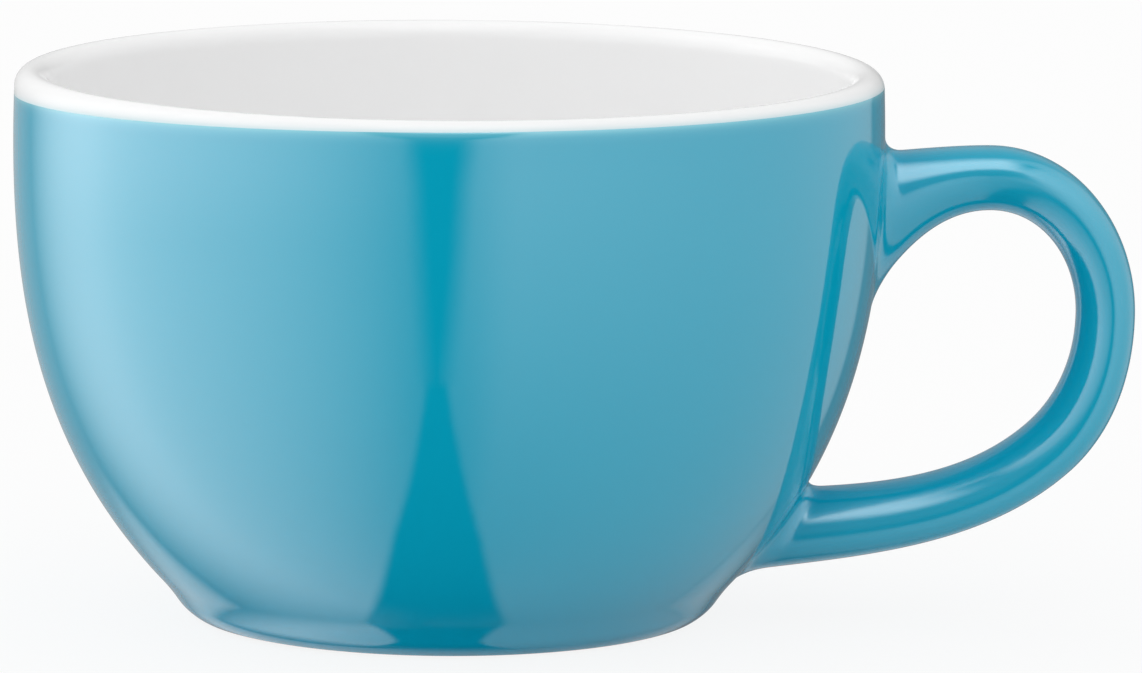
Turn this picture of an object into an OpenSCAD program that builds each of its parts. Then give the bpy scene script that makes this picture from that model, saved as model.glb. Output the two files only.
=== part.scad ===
// Cappuccino cup: a thick-walled ceramic bowl on a turned foot, with a loop handle luted on with slip,
// glazed white inside and over the lip and blue outside.
// The origin is the centre of the foot on the table, +Z is up and the handle points along +X.

/* [Bowl] */
// Outside diameter of the lip, over the glaze
rim_d = 100; // [92:1:110]
// Height from the table to the top of the lip, over the glaze
cup_h = 63.5; // [58:0.5:72]
// Thickness of the full-round lip, over the glaze
lip_t = 3.8; // [3:0.1:5]
// Inward lean of the wall where it meets the lip, in degrees
lip_lean = 2; // [0:0.5:5]
// Pull of the belly's curve as it leaves the foot
belly_pull = 22.5; // [18:0.5:26]
// Pull of the wall's curve as it comes up to the lip
wall_pull = 21; // [16:0.5:26]

/* [Foot] */
// Outside diameter of the ring face that the cup stands on
foot_d = 53; // [48:0.5:58]
// Width of that ring face
foot_face_w = 3.5; // [2.5:0.5:5]
// Radius of the foot's outer edge
foot_edge_r = 5.6; // [4.5:0.1:6.5]
// How far below the horizontal the foot's side faces where the neck begins, in degrees
foot_lean = 34; // [30:1:38]
// Radius of the hollow neck between the foot and the belly
neck_r = 20; // [14:1:26]
// How far below the horizontal the neck faces where the belly begins, in degrees
neck_lean = 43; // [40:1:46]
// Depth of the recess inside the foot ring
recess_h = 2; // [1.5:0.1:3]
// Radius of the hollow corner between the foot ring and the recess
recess_r = 1.5; // [1:0.1:1.5]

/* [Inside] */
// Diameter of the flat middle of the floor
floor_d = 30; // [22:1:36]
// Thickness of the floor over the recess
floor_t = 4.5; // [3.5:0.1:6]
// Pull of the inner curve as it leaves the floor
heel_pull = 22; // [18:0.5:23]
// Pull of the inner curve as it leaves the lip
inner_pull = 34; // [26:0.5:35]

/* [Glaze] */
// Thickness of every coat of glaze
glaze_t = 0.4; // [0.3:0.05:0.6]
// How far the white glaze comes down outside, from the top of the lip
white_band = 1.5; // [0.6:0.1:1.6]
// Angle round the foot's edge, up from the table, at which the blue glaze starts, in degrees
bare_foot = 24; // [18:1:34]
// Width of the bare clay between the recess's corner and the glaze on its ceiling
bare_recess = 0.5; // [0.3:0.1:1.5]

/* [Handle] */
// How far the handle stands out past the lip
handle_out = 29.3; // [25:0.1:34]
// Height of the handle's furthest point
grip_z = 35.5; // [31:0.5:39]
// Thickness of the handle there
grip_t = 6.8; // [5.5:0.05:8.5]
// Width of the handle there
grip_w = 10; // [8:0.5:13]
// How far the top of the arch stands out past the lip
crest_out = 12.4; // [10:0.2:14.4]
// How far the top of the arch lies below the lip
crest_drop = 8.75; // [7:0.25:11]
// Thickness of the arch at its top
crest_t = 7.35; // [6:0.05:9]
// Width of the arch at its top
crest_w = 10.5; // [8:0.5:13]
// How far the middle of the lower bend stands out past the lip
bend_out = 19.5; // [16:0.1:21]
// Height of the middle of the lower bend
bend_z = 19.65; // [17:0.05:22]
// Thickness of the handle at the lower bend
bend_t = 7.3; // [6:0.1:9]
// Width of the handle at the lower bend
bend_w = 10.5; // [8:0.5:13]
// Direction of the lower bend, turned down from the arch's top, in degrees
bend_turn = 138; // [130:1:145]
// Corner sharpness of the oval section: 2 is an ellipse
section_power = 2.3; // [2:0.1:3]
// How much wider the section is towards the loop's outside, as a share of its width
section_lean = 0.15; // [0:0.05:0.25]

/* [Roots] */
// How far the upper root's top lies below the lip
root_drop = 9.6; // [8:0.2:12]
// Height of the upper root on the wall
root_h = 16.8; // [13:0.1:18]
// Width of the upper root
root_w = 12.5; // [10:0.5:15]
// Rise of the handle's outer line as it leaves the wall, in degrees
root_rise_outer = 2; // [0:1:12]
// Rise of the handle's inner line as it leaves the wall, in degrees
root_rise_inner = 58; // [45:1:60]
// Height of the middle of the lower root
arm_z = 9.9; // [9.5:0.1:13]
// Height of the lower root on the wall
arm_h = 9.6; // [7.5:0.1:10]
// Fall of the handle's outer line as it meets the wall there, in degrees
arm_fall_outer = 9; // [4:1:12]
// Fall of the handle's inner line as it meets the wall there, in degrees
arm_fall_inner = 2; // [0:1:5]
// Width of the lower root
arm_w = 11.5; // [9:0.5:14]
// Radius of the fillet where the handle meets the bowl
joint_fillet = 1.5; // [1:0.1:2.5]
// Thickness of the slip between the handle and the bowl
slip_t = 0.8; // [0.5:0.1:1.2]

/* [Hidden] */

clay_colour = [0.86, 0.82, 0.76];
slip_colour = [0.80, 0.75, 0.68];
white_colour = [0.94, 0.94, 0.93];
blue_colour = [0.02, 0.58, 0.70];

// Steps of the outlines and facets of the turned solids
foot_steps = 10;
neck_steps = 4;
curve_steps = 22;
lip_steps = 14;
turn_facets = 128;
// Points round the handle's section, and rings along it
section_points = 28;
far_steps = 8;
root_steps = 13;
// How deep the handle's rails run into the bowl, and the share of the end spans that the joints take
bury = 4;
root_share = 0.42;

rim_r = rim_d / 2;
lip_r = lip_t / 2;
foot_r = foot_d / 2;
floor_z = recess_h + floor_t;

// A unit vector at an angle from +X
function heading(a) = [cos(a), sin(a)];

// A point on the cubic curve a-b-c-d at t
function curve(a, b, c, d, t) =
    pow(1 - t, 3) * a + 3 * pow(1 - t, 2) * t * b + 3 * (1 - t) * t * t * c + pow(t, 3) * d;

// The unit vector to the right of that curve's travel at t
function curve_right(a, b, c, d, t) =
    let (v = pow(1 - t, 2) * (b - a) + 2 * (1 - t) * t * (c - b) + t * t * (d - c))
    [v[1], -v[0]] / norm(v);

// An outline is a list of [point on the clay, unit vector out of the clay]
function round_edge(centre, r, from, to, steps) =
    [for (i = [0 : steps]) let (n = heading(from + (to - from) * i / steps)) [centre + r * n, n]];

function hollow_edge(centre, r, from, to, steps) =
    [for (i = [0 : steps]) let (n = heading(from + (to - from) * i / steps)) [centre - r * n, n]];

function curved_edge(a, b, c, d, steps) =
    [for (i = [0 : steps]) [curve(a, b, c, d, i / steps), curve_right(a, b, c, d, i / steps)]];

// Outlines that run on from each other as one outline, with each shared point once
function joined(edges) =
    [for (e = [0 : len(edges) - 1], i = [(e == 0 ? 0 : 1) : len(edges[e]) - 1]) edges[e][i]];

// The points of an outline, moved out of the clay by a coat's thickness
function coated(outline, coat) = [for (p = outline) p[0] + coat * p[1]];

function reversed(list) = [for (i = [len(list) - 1 : -1 : 0]) list[i]];

// The clay's outside: foot, neck, then the belly and wall as one curve up to the lip
foot_centre = [foot_r, foot_edge_r];
neck_centre = foot_centre + (foot_edge_r + neck_r) * heading(-foot_lean);
belly_start = neck_centre - neck_r * heading(-neck_lean);
lip_centre = [rim_r - lip_r, cup_h - lip_r];
clay_lip_r = lip_r - glaze_t;
wall_end = lip_centre + clay_lip_r * heading(lip_lean);

bare_edge = round_edge(foot_centre, foot_edge_r, -90, -90 + bare_foot, foot_steps);
foot_edge = round_edge(foot_centre, foot_edge_r, -90 + bare_foot, -foot_lean, foot_steps);
neck_edge = hollow_edge(neck_centre, neck_r, -foot_lean, -neck_lean, neck_steps);
belly_edge = curved_edge(
    belly_start,
    belly_start + belly_pull * heading(90 - neck_lean),
    wall_end - wall_pull * heading(90 + lip_lean),
    wall_end,
    curve_steps
);

// The lip, split at the line where the blue glaze gives way to the white
colour_line = asin((lip_r - white_band) / lip_r);
blue_lip = round_edge(lip_centre, clay_lip_r, lip_lean, colour_line, lip_steps);
white_lip = round_edge(lip_centre, clay_lip_r, colour_line, 180 + lip_lean, lip_steps);

// The clay's inside, from the lip down to the flat floor, each coated with glaze
inner_start = lip_centre - clay_lip_r * heading(lip_lean);
floor_edge = [floor_d / 2, floor_z];
inner_edge = curved_edge(
    inner_start,
    inner_start + inner_pull * heading(lip_lean - 90),
    floor_edge + [heel_pull, 0],
    floor_edge,
    curve_steps
);

// The recess under the base, its hollow corner from the ceiling down to the foot ring
recess_d = foot_d - 2 * foot_face_w;
recess_centre = [recess_d / 2 - recess_r, recess_h - recess_r];
recess_corner = round_edge(recess_centre, recess_r, 90, 0, foot_steps);
base_glaze_r = recess_d / 2 - recess_r - bare_recess;

outside = joined([bare_edge, foot_edge, neck_edge, belly_edge]);
glazed_outside = joined([foot_edge, neck_edge, belly_edge, blue_lip]);
glazed_inside = joined([white_lip, inner_edge]);

// The clay wall's radius and the slope of its face at a height
wall_radii = [for (p = outside) [p[0][1], p[0][0]]];
wall_slopes = [for (p = outside) [p[0][1], p[1][0]]];
function wall_r(z) = lookup(z, wall_radii);

// How far a point lies outside the clay wall
function wall_gap(p) = (norm([p[0], p[1]]) - wall_r(p[2])) * lookup(p[2], wall_slopes);

// The handle's stations: outer and inner point, the two lines' directions there, half the width.
// Lines run from the upper root over the arch and round the grip to the lower root.
function wall_point(z, direction, depth) = [wall_r(z), z] + depth * heading(direction);

root_top_z = cup_h - root_drop;
crest_z = cup_h - crest_drop;
crest_x = rim_r + crest_out;
grip_x = rim_r + handle_out;
bend_middle = [rim_r + bend_out, bend_z];
bend_normal = heading(90 - bend_turn);
stations = [
    [
        wall_point(root_top_z, 180 + root_rise_outer, bury),
        wall_point(root_top_z - root_h, 180 + root_rise_inner, bury),
        root_rise_outer,
        root_rise_inner,
        root_w / 2
    ],
    [[crest_x, crest_z], [crest_x, crest_z - crest_t], 0, 0, crest_w / 2],
    [[grip_x, grip_z], [grip_x - grip_t, grip_z], -90, -90, grip_w / 2],
    [
        bend_middle + bend_t / 2 * bend_normal,
        bend_middle - bend_t / 2 * bend_normal,
        -bend_turn,
        -bend_turn,
        bend_w / 2
    ],
    [
        wall_point(arm_z - arm_h / 2, 180 + arm_fall_outer, bury),
        wall_point(arm_z + arm_h / 2, 180 + arm_fall_inner, bury),
        arm_fall_outer - 180,
        arm_fall_inner - 180,
        arm_w / 2
    ]
];
spans = len(stations) - 1;

// A point of the outer (side 0) or inner (side 1) line, t along a span, as the arc-like curve between stations
function rail(span, side, t) =
    let (
        a = stations[span],
        b = stations[span + 1],
        turn = b[side + 2] - a[side + 2],
        pull = norm(b[side] - a[side]) / (3 * pow(cos(turn / 4), 2))
    )
    curve(a[side], a[side] + pull * heading(a[side + 2]), b[side] - pull * heading(b[side + 2]), b[side], t);

// Half the width, easing from one station to the next
function half_width(span, t) =
    let (ease = t * t * (3 - 2 * t))
    stations[span][4] * (1 - ease) + stations[span + 1][4] * ease;

// How far a round fillet stands off the handle's side at a gap from the wall
function fillet_rise(gap, r) =
    let (left = r - min(max(gap, 0), r))
    r - sqrt(r * r - left * left);

function signed_power(v, p) = sign(v) * pow(abs(v), p);

// One point of the section, inset from the glazed surface by a coat and flared into the wall by the fillet
function section_point(span, t, angle, inset) =
    let (
        outer = rail(span, 0, t),
        inner = rail(span, 1, t),
        middle = (outer + inner) / 2,
        half_t = norm(outer - inner) / 2 - inset,
        up = (outer - inner) / norm(outer - inner),
        half_w = half_width(span, t) - inset,
        a = signed_power(cos(angle), 2 / section_power),
        b = signed_power(sin(angle), 2 / section_power),
        spread = 1 + section_lean * a,
        base = [middle[0] + half_t * a * up[0], half_w * b * spread, middle[1] + half_t * a * up[1]],
        steep = signed_power(b, section_power - 1),
        across = half_w * (signed_power(a, section_power - 1) * spread - section_lean * b * steep),
        along = half_t * steep,
        out = [across * up[0], along, across * up[1]] / norm([across, along]),
        gap = wall_gap(base) - glaze_t + inset
    )
    base + fillet_rise(gap, joint_fillet) * out;

function ring(span, t, inset) =
    [for (i = [0 : section_points - 1]) section_point(span, t, 360 * i / section_points, inset)];

// Where the rings stand: close together in the joints, further apart along the loop
upper_root_places = [for (i = [0 : root_steps]) [0, root_share * i / root_steps]];
lower_root_places = [for (i = [0 : root_steps]) [spans - 1, 1 - root_share / 2 * (1 - i / root_steps)]];
loop_places = concat(
    [for (i = [1 : far_steps - 1]) [0, root_share + (1 - root_share) * i / far_steps]],
    [for (s = [1 : spans - 2], i = [0 : far_steps - 1]) [s, i / far_steps]],
    [for (i = [0 : far_steps - 1]) [spans - 1, (1 - root_share / 2) * i / far_steps]]
);

// Faces of a tube of rings; a flipped tube faces inwards
function tube_faces(rings, first, flipped) = [
    for (k = [0 : rings - 2], i = [0 : section_points - 1], half = [0, 1])
        let (
            j = (i + 1) % section_points,
            a = first + k * section_points + i,
            b = first + k * section_points + j,
            c = a + section_points,
            d = b + section_points,
            face = half == 0 ? [a, b, d] : [a, d, c]
        )
        flipped ? reversed(face) : face
];

// A solid through the rings at the given places
module loft(places, inset) {
    last = (len(places) - 1) * section_points;
    polyhedron(
        points = [for (p = places) each ring(p[0], p[1], inset)],
        faces = concat(
            tube_faces(len(places), 0, false),
            [[for (i = [section_points - 1 : -1 : 0]) i]],
            [[for (i = [0 : section_points - 1]) last + i]]
        )
    );
}

// The coat between the handle's clay and its glazed surface, as one closed sleeve
module sleeve(places) {
    rings = len(places);
    shell = rings * section_points;
    polyhedron(
        points = concat(
            [for (p = places) each ring(p[0], p[1], 0)],
            [for (p = places) each ring(p[0], p[1], glaze_t)]
        ),
        faces = concat(
            tube_faces(rings, 0, false),
            tube_faces(rings, shell, true),
            [
                for (end = [0, rings - 1], i = [0 : section_points - 1], half = [0, 1])
                    let (
                        j = (i + 1) % section_points,
                        a = end * section_points + i,
                        b = end * section_points + j,
                        c = a + shell,
                        d = b + shell,
                        face = half == 0 ? [a, c, d] : [a, d, b]
                    )
                    end == 0 ? face : reversed(face)
            ]
        )
    );
}

// A solid turned round the cup's axis from an outline's points
module turned(points) {
    rotate_extrude($fn = turn_facets)
        polygon(points);
}

// Everything within a coat's thickness of the clay's outside, up to the lip
module filled_bowl(coat) {
    points = coated(outside, coat);
    turned(concat([[0, points[0][1]]], points, [[0, points[len(points) - 1][1]]]));
}

// The clay bowl: foot, belly, lip, inside and recessed base
module bowl() {
    color(clay_colour)
        turned(concat(
            coated(joined([outside, blue_lip, glazed_inside]), 0),
            [[0, floor_z], [0, recess_h]],
            coated(recess_corner, 0),
            [[recess_d / 2, 0]]
        ));
}

// The clay handle, its roots cut to the bowl's curve with room for the slip
module handle() {
    color(clay_colour)
        difference() {
            loft(concat(upper_root_places, loop_places, lower_root_places), glaze_t);
            filled_bowl(slip_t);
        }
}

// A bed of slip between one of the handle's roots and the bowl
module slip_joint(places) {
    color(slip_colour)
        intersection() {
            difference() {
                loft(places, glaze_t);
                filled_bowl(0);
            }
            filled_bowl(slip_t);
        }
}

module upper_slip_joint() {
    slip_joint(upper_root_places);
}

module lower_slip_joint() {
    slip_joint(lower_root_places);
}

// The white coat: over the lip, down the inside and across the floor
module white_lining_glaze() {
    color(white_colour)
        turned(concat(
            coated(glazed_inside, 0),
            [[0, floor_z], [0, floor_z + glaze_t]],
            reversed(coated(glazed_inside, glaze_t))
        ));
}

// The blue coat on the bowl, open where the handle's joints stand on the clay
module blue_bowl_glaze() {
    color(blue_colour)
        difference() {
            turned(concat(coated(glazed_outside, 0), reversed(coated(glazed_outside, glaze_t))));
            loft(upper_root_places, 0);
            loft(lower_root_places, 0);
        }
}

// The blue coat on the handle and over its joints, down to the bowl's clay
module blue_handle_glaze() {
    color(blue_colour)
        difference() {
            sleeve(concat(upper_root_places, loop_places, lower_root_places));
            filled_bowl(0);
        }
}

// The blue coat on the ceiling of the recess
module blue_base_glaze() {
    color(blue_colour)
        translate([0, 0, recess_h - glaze_t])
            cylinder(h = glaze_t, r = base_glaze_r, $fn = turn_facets);
}

bowl();
handle();
upper_slip_joint();
lower_slip_joint();
white_lining_glaze();
blue_bowl_glaze();
blue_handle_glaze();
blue_base_glaze();
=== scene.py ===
"""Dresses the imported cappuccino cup: turned clay, slip, two glazes, a light tent and a camera.

Lengths are millimetres and angles are degrees, in the cup's own frame: the origin is the centre of
the foot on the table, +Z is up, the handle points along +X and the camera looks along +Y.
"""

import logging
from dataclasses import dataclass, field, replace
from enum import Enum
from functools import cache, cached_property

import bmesh
import bpy
import numpy as np
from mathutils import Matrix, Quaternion, Vector


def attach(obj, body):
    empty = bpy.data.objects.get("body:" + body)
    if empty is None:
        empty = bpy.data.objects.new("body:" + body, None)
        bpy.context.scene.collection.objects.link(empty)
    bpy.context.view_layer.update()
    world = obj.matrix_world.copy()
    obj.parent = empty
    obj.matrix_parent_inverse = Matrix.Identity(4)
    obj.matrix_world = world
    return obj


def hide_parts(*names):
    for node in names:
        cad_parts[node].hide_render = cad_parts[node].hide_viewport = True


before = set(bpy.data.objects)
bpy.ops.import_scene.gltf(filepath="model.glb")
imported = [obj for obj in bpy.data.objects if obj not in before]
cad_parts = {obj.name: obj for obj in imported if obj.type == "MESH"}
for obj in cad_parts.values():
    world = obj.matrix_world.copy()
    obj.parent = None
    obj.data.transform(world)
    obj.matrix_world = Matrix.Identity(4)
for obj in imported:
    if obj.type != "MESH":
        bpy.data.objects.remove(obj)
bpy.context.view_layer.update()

BODY = "root"
# A millimetre in metres
MM = 0.001
# Points on each arc or curve of an outline
OUTLINE_STEPS = 400
# Edges sharper than this stay sharp, and vertices closer than this many metres become one
SHARP_EDGE = 50.0
SAME_PLACE = 1e-8

log = logging.getLogger("cappuccino_cup")


class Node(Enum):
    """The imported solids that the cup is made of."""

    BOWL = "bowl"
    HANDLE = "handle"
    UPPER_SLIP = "upper_slip_joint"
    LOWER_SLIP = "lower_slip_joint"
    LINING = "white_lining_glaze"
    BOWL_COAT = "blue_bowl_glaze"
    HANDLE_COAT = "blue_handle_glaze"
    BASE_COAT = "blue_base_glaze"


class Slot(Enum):
    """The record's material slots."""

    CLAY = "fired_clay"
    SLIP = "slip"
    WHITE = "white_glaze"
    BLUE = "blue_glaze"


class Rail(Enum):
    """The two lines that the handle's section hangs between."""

    OUTER = 0
    INNER = 1


def heading(angle: np.ndarray | float) -> np.ndarray:
    """Unit vectors (cos, sin) at angles from the first axis."""
    turn = np.radians(angle)
    return np.stack([np.cos(turn), np.sin(turn)], axis=-1)


def smooth_step(start: float, end: float, value: np.ndarray) -> np.ndarray:
    """A cubic ease from 0 at start to 1 at end."""
    share = np.clip((value - start) / (end - start), 0.0, 1.0)
    return share * share * (3.0 - 2.0 * share)


def signed_power(value: np.ndarray, power: float) -> np.ndarray:
    """The size of a value raised to a power, with the value's own sign."""
    return np.sign(value) * np.abs(value) ** power


def end_shares(count: int) -> np.ndarray:
    """Shares from 0 to 1 that crowd towards both ends, as the shadow of a half turn."""
    return (1.0 - np.cos(np.linspace(0.0, np.pi, count))) / 2.0


def cubic(a: np.ndarray, b: np.ndarray, c: np.ndarray, d: np.ndarray, t: np.ndarray) -> np.ndarray:
    """Points of the cubic curve from a to d that leaves towards b and arrives from c.

    Args:
        a: Start point or points.
        b: Pull point of the start.
        c: Pull point of the end.
        d: End point or points.
        t: Shares of the way along, one for each point.

    Returns:
        The points, with the coordinates on the last axis.
    """
    t = np.asarray(t)[..., None]
    s = 1.0 - t
    return s**3 * a + 3.0 * s * s * t * b + 3.0 * s * t * t * c + t**3 * d


@dataclass(frozen=True)
class Outline:
    """A line in the upright half-plane: points (r, z) on the clay and unit vectors out of it."""

    points: np.ndarray
    normals: np.ndarray

    @classmethod
    def arc(cls, centre: np.ndarray, radius: float, start: float, end: float) -> "Outline":
        """An arc round a centre between two angles; a negative radius makes a hollow."""
        normals = heading(np.linspace(start, end, OUTLINE_STEPS))
        return cls(centre + radius * normals, normals)

    @classmethod
    def curve(cls, a: np.ndarray, b: np.ndarray, c: np.ndarray, d: np.ndarray) -> "Outline":
        """A cubic curve whose clay lies to the left of its travel.

        Args:
            a: Start point.
            b: Pull point of the start.
            c: Pull point of the end.
            d: End point.

        Returns:
            The outline, its normals a quarter turn to the right of the travel.
        """
        points = cubic(a, b, c, d, np.linspace(0.0, 1.0, OUTLINE_STEPS))
        travel = np.gradient(points, axis=0)
        normals = np.stack([travel[:, 1], -travel[:, 0]], axis=1)
        return cls(points, normals / np.linalg.norm(normals, axis=1, keepdims=True))

    @classmethod
    def straight(cls, start: np.ndarray, end: np.ndarray) -> "Outline":
        """A straight line whose clay lies to the left of its travel."""
        return cls.curve(start, start + (end - start) / 3.0, end - (end - start) / 3.0, end)

    @classmethod
    def joined(cls, *parts: "Outline") -> "Outline":
        """Outlines that run on from each other as one.

        Args:
            parts: The outlines in order, each from the last point of the one before.

        Returns:
            The whole outline, with each shared point once.
        """
        points = [parts[0].points] + [part.points[1:] for part in parts[1:]]
        normals = [parts[0].normals] + [part.normals[1:] for part in parts[1:]]
        return cls(np.concatenate(points), np.concatenate(normals))

    @cached_property
    def run(self) -> np.ndarray:
        """The length along the line at each of its points."""
        steps = np.linalg.norm(np.diff(self.points, axis=0), axis=1)
        return np.concatenate([[0.0], np.cumsum(steps)])

    def at(self, lengths: np.ndarray, coat: np.ndarray | float = 0.0) -> np.ndarray:
        """Points at lengths along the line, moved out of the clay by a coat.

        Args:
            lengths: Lengths along the line, in any shape.
            coat: Thickness over the clay, one value or one for each length.

        Returns:
            The points (r, z), with the coordinates on the last axis.
        """
        point = [np.interp(lengths, self.run, self.points[:, axis]) for axis in (0, 1)]
        out = [np.interp(lengths, self.run, self.normals[:, axis]) for axis in (0, 1)]
        return np.stack([p + coat * n for p, n in zip(point, out)], axis=-1)


@dataclass
class Surface:
    """Vertices in rows and columns, the faces between them, and a named value for each vertex."""

    rows: np.ndarray
    closed: bool = False
    values: np.ndarray | None = None
    values_name: str = "thin"

    def faces(self) -> np.ndarray:
        """Quads of a grid that closes round its columns, and round its rows if it is closed.

        Returns:
            Four vertex numbers for each quad.
        """
        count, columns = self.rows.shape[:2]
        last = count if self.closed else count - 1
        row, column = np.meshgrid(np.arange(last), np.arange(columns), indexing="ij")
        above = (row + 1) % count * columns
        beside = (column + 1) % columns
        here = row * columns
        quads = [here + column, here + beside, above + beside, above + column]
        return np.stack(quads, axis=-1).reshape(-1, 4)

    def mesh(self, name: str) -> bpy.types.Mesh:
        """The surface as a smooth mesh in metres, its poles and shared edges closed.

        Args:
            name: The mesh's name.

        Returns:
            The new mesh, with the values in an attribute of their name, or 0 where there are none.
        """
        mesh = bpy.data.meshes.new(name)
        mesh.from_pydata((self.rows.reshape(-1, 3) * MM).tolist(), [], self.faces().tolist())
        values = np.zeros(self.rows.shape[:2]) if self.values is None else self.values
        attribute = mesh.attributes.new(self.values_name, "FLOAT", "POINT")
        attribute.data.foreach_set("value", values.astype(np.float32).ravel())
        work = bmesh.new()
        work.from_mesh(mesh)
        bmesh.ops.remove_doubles(work, verts=work.verts, dist=SAME_PLACE)
        work.to_mesh(mesh)
        work.free()
        mesh.shade_smooth()
        mesh.set_sharp_from_angle(angle=np.radians(SHARP_EDGE))
        return mesh


def turned(outline: np.ndarray, angles: np.ndarray) -> np.ndarray:
    """Carries points (r, z) round the cup's axis: x = r cos, y = r sin, and z stays.

    Args:
        outline: Points in rows, the same for every angle or with one column for each angle.
        angles: Angles from +X, anticlockwise.

    Returns:
        The points (x, y, z) in rows and columns.
    """
    if outline.ndim == 2:
        outline = np.repeat(outline[:, None, :], len(angles), axis=1)
    flat = outline[..., :1] * heading(angles)
    return np.concatenate([flat, outline[..., 1:]], axis=-1)


def rgba(colour: tuple[float, float, float]) -> tuple[float, float, float, float]:
    """A colour with full cover, as colour sockets take it."""
    return (*colour, 1.0)


def per_metre(size: float) -> float:
    """How often a pattern of a size in millimetres repeats in a metre."""
    return 1.0 / (size * MM)


def add_object(name: str, data: bpy.types.ID) -> bpy.types.Object:
    """A new object in the scene, at the origin.

    Args:
        name: The object's name.
        data: Its mesh or camera.

    Returns:
        The object.
    """
    made = bpy.data.objects.new(name, data)
    bpy.context.scene.collection.objects.link(made)
    return made


class Sheet:
    """A node tree while it is drawn up."""

    # Numbers of the sockets of a Mix node that mixes colours
    MIX_SHARE, MIX_FIRST, MIX_SECOND, MIX_RESULT = 0, 6, 7, 2

    def __init__(self, tree: bpy.types.NodeTree) -> None:
        """Clears the tree."""
        self.tree = tree
        tree.nodes.clear()

    @classmethod
    def of_material(cls, name: str) -> tuple[bpy.types.Material, "Sheet"]:
        """Starts a material.

        Args:
            name: The material's name.

        Returns:
            The new material, and the sheet of its nodes.
        """
        material = bpy.data.materials.new(name)
        material.use_nodes = True
        return material, cls(material.node_tree)

    def add(self, kind: str, sockets: dict | None = None, **settings: object) -> bpy.types.Node:
        """Adds a node.

        Args:
            kind: The node's type name.
            sockets: What goes into each named or numbered input: a value, or an output to join.
            settings: The node's own settings.

        Returns:
            The new node.
        """
        node = self.tree.nodes.new(kind)
        for key, value in settings.items():
            setattr(node, key, value)
        for key, value in (sockets or {}).items():
            if isinstance(value, bpy.types.NodeSocket):
                self.tree.links.new(value, node.inputs[key])
            else:
                node.inputs[key].default_value = value
        return node

    def math(self, operation: str, *values: object) -> bpy.types.NodeSocket:
        """The output of one operation on values or outputs."""
        return self.add("ShaderNodeMath", dict(enumerate(values)), operation=operation).outputs[0]

    def mix(self, share: object, first: object, second: object) -> bpy.types.NodeSocket:
        """A colour between two colours."""
        sockets = {self.MIX_SHARE: share, self.MIX_FIRST: first, self.MIX_SECOND: second}
        return self.add("ShaderNodeMix", sockets, data_type="RGBA").outputs[self.MIX_RESULT]

    def place(self) -> bpy.types.NodeSocket:
        """The cup's own coordinates."""
        return self.add("ShaderNodeTexCoord").outputs["Object"]

    def noise(self, scale: object, detail: float) -> bpy.types.NodeSocket:
        """Cloudy values from 0 to 1 on the cup's own coordinates."""
        sockets = {"Vector": self.place(), "Scale": scale, "Detail": detail}
        return self.add("ShaderNodeTexNoise", sockets).outputs["Fac"]

    def group(self, tree: bpy.types.NodeTree, sockets: dict) -> dict[str, bpy.types.NodeSocket]:
        """Places a node group with its own values, and gives its outputs by name."""
        return dict(self.add("ShaderNodeGroup", sockets, node_tree=tree).outputs.items())

    def relief(self, height: bpy.types.NodeSocket, depth: float) -> bpy.types.NodeSocket:
        """The normal of a relief whose depth is in millimetres."""
        sockets = {"Height": height, "Distance": depth * MM}
        return self.add("ShaderNodeBump", sockets).outputs["Normal"]

    def principled(self, sockets: dict) -> None:
        """Ends a material with a Principled shader."""
        shader = self.add("ShaderNodeBsdfPrincipled", sockets)
        self.add("ShaderNodeOutputMaterial", {"Surface": shader.outputs["BSDF"]})


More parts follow.
